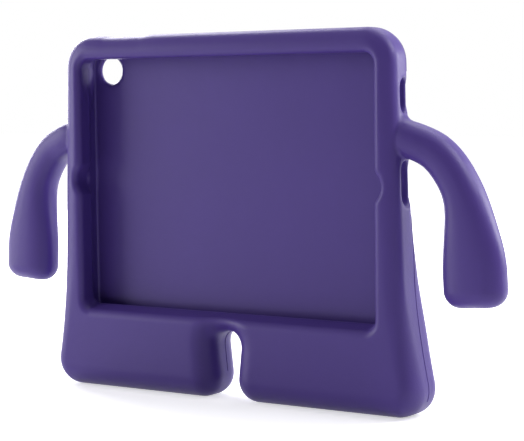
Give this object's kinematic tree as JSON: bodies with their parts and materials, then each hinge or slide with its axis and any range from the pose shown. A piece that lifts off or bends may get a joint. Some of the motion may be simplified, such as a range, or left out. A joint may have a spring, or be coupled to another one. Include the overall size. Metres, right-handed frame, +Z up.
{
  "type": "kids tablet case",
  "caption": "Stand-up foam case with a windowed pocket for a tablet, two drooping arms as handles and two broad feet that it stands on.",
  "frame": {"origin": "on the ground under the middle of the case's outer box", "axes": "+Z up, the window faces -Y, +X to the right as seen from the front; the side slots are on the +X side"},
  "size_m": [0.4004, 0.0404, 0.2473],
  "materials": {
    "purple_foam": "moulded closed-cell EVA foam, satin-matt, fine even skin"
  },
  "bodies": {
    "root": {"foam_case": "purple_foam"}
  },
  "joints": []
}
